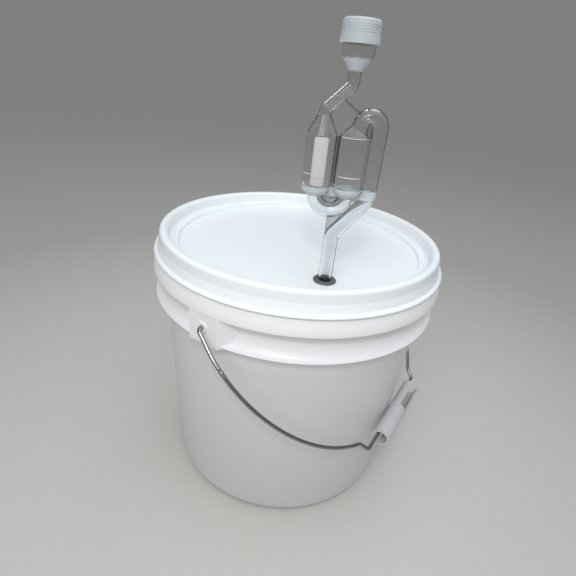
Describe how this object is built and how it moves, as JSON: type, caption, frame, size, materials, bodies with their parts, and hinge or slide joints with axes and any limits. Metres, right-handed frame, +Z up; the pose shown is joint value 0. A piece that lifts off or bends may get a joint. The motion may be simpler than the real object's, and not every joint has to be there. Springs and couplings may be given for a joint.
{
  "type": "fermentation pail with airlock",
  "caption": "White plastic pail with a press-on lid, a clear twin-chamber airlock in a rubber grommet, and a wire bail with a plastic grip.",
  "frame": {"origin": "centre of the pail's underside, on the surface that it stands on", "axes": "+Z up through the pail; the bail's pivots lie along X and the bail hangs towards -Y; the airlock stands at -X, -Y on the lid"},
  "size_m": [0.264, 0.2472, 0.3769],
  "materials": {
    "pail_plastic": "satin, slightly translucent",
    "lid_plastic": "satin",
    "seal": "soft",
    "grommet_rubber": "matte",
    "clear_plastic": "clear, polished",
    "cap_plastic": "milky, satin",
    "label_paper": "matte",
    "bail_steel": "drawn wire",
    "grip_plastic": "satin"
  },
  "bodies": {
    "pail": {"pail": "pail_plastic"},
    "bail": {"bail_wire": "bail_steel"},
    "grip": {"bail_grip": "grip_plastic"},
    "lid": {"lid": "lid_plastic", "lid_gasket": "seal"},
    "grommet": {"grommet": "grommet_rubber"},
    "airlock": {"airlock_front": "clear_plastic", "airlock_back": "clear_plastic", "airlock_label": "label_paper"},
    "cap": {"airlock_cap": "cap_plastic"}
  },
  "joints": [
    {"name": "bail_swing", "type": "hinge", "parent": "pail", "child": "bail", "pos_m": [0, 0, 0.1889], "axis": [-1, 0, 0], "range_deg": [0, 96]},
    {"name": "grip_spin", "type": "hinge", "parent": "bail", "child": "grip", "pos_m": [0, -0.11688, 0.08631], "axis": [1, 0, 0], "continuous": true},
    {"name": "lid_lift", "type": "slide", "parent": "pail", "child": "lid", "axis": [0, 0, 1], "range_m": [0, 0.13]},
    {"name": "airlock_turn", "type": "hinge", "parent": "lid", "child": "grommet", "pos_m": [-0.05334, -0.05371, 0.2177], "axis": [0, 0, 1], "continuous": true},
    {"name": "airlock_pull", "type": "slide", "parent": "grommet", "child": "airlock", "axis": [0, 0, 1], "range_m": [0, 0.03]},
    {"name": "cap_lift", "type": "slide", "parent": "airlock", "child": "cap", "axis": [0, 0, 1], "range_m": [0, 0.025]}
  ]
}
